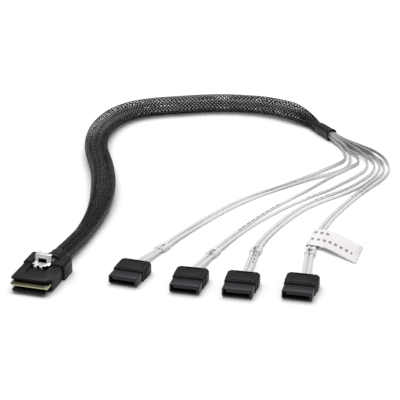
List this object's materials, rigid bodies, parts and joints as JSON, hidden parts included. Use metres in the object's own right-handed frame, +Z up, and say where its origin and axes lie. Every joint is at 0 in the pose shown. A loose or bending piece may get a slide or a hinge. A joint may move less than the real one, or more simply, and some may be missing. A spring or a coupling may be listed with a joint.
{
  "type": "mini sas breakout cable",
  "caption": "Breakout cable: a mini SAS plug with a sprung metal latch, a black braided trunk and flat silver ribbon legs that end in numbered drive data receptacles.",
  "frame": {"origin": "point on the flat underside of the mini SAS plug, on its middle line, 10 mm behind the front edge of its hood; the cable lies on z = 0", "axes": "+Z up off the surface the cable lies on, +Y from the mini SAS plug's front back into the cable, +X to the right towards the four receptacles"},
  "size_m": [0.1717, 0.2596, 0.0108],
  "materials": {
    "plug_plastic": "satin moulded black",
    "card": "lacquered glass-fibre board with gilt pads",
    "potting": "dull resin",
    "spring_steel": "bright rolled sheet",
    "braid": "woven monofilament braid",
    "shrink": "satin shrunk tube",
    "housing_plastic": "fine matt moulded",
    "contact_metal": "gilt contacts in a black carrier",
    "overmould_plastic": "fine matt moulded",
    "ribbon_film": "silver film with a soft sheen",
    "clear_label": "thin film with a printed digit",
    "flag_film": "thin pale film"
  },
  "bodies": {
    "cable": {"plug_lower_shell": "plug_plastic", "plug_upper_shell": "plug_plastic", "paddle_card": "card", "wire_block": "potting", "braided_sleeve": "braid", "front_shrink_band": "shrink", "rear_shrink_tube": "shrink", "receptacle_1_housing": "housing_plastic", "receptacle_1_contacts": "contact_metal", "receptacle_1_overmould": "overmould_plastic", "ribbon_1_a": "ribbon_film", "ribbon_1_b": "ribbon_film", "number_label_1": "clear_label", "receptacle_2_housing": "housing_plastic", "receptacle_2_contacts": "contact_metal", "receptacle_2_overmould": "overmould_plastic", "ribbon_2_a": "ribbon_film", "ribbon_2_b": "ribbon_film", "number_label_2": "clear_label", "receptacle_3_housing": "housing_plastic", "receptacle_3_contacts": "contact_metal", "receptacle_3_overmould": "overmould_plastic", "ribbon_3_a": "ribbon_film", "ribbon_3_b": "ribbon_film", "number_label_3": "clear_label", "receptacle_4_housing": "housing_plastic", "receptacle_4_contacts": "contact_metal", "receptacle_4_overmould": "overmould_plastic", "ribbon_4_a": "ribbon_film", "ribbon_4_b": "ribbon_film", "number_label_4": "clear_label", "flag_label": "flag_film"},
    "latch": {"latch": "spring_steel"}
  },
  "joints": [
    {"name": "latch_press", "type": "hinge", "parent": "cable", "child": "latch", "pos_m": [-0.0009, -0.005, 0.0049], "axis": [1, 0, 0], "range_deg": [-3, 0], "stiffness_Nm_per_rad": 0.3}
  ]
}
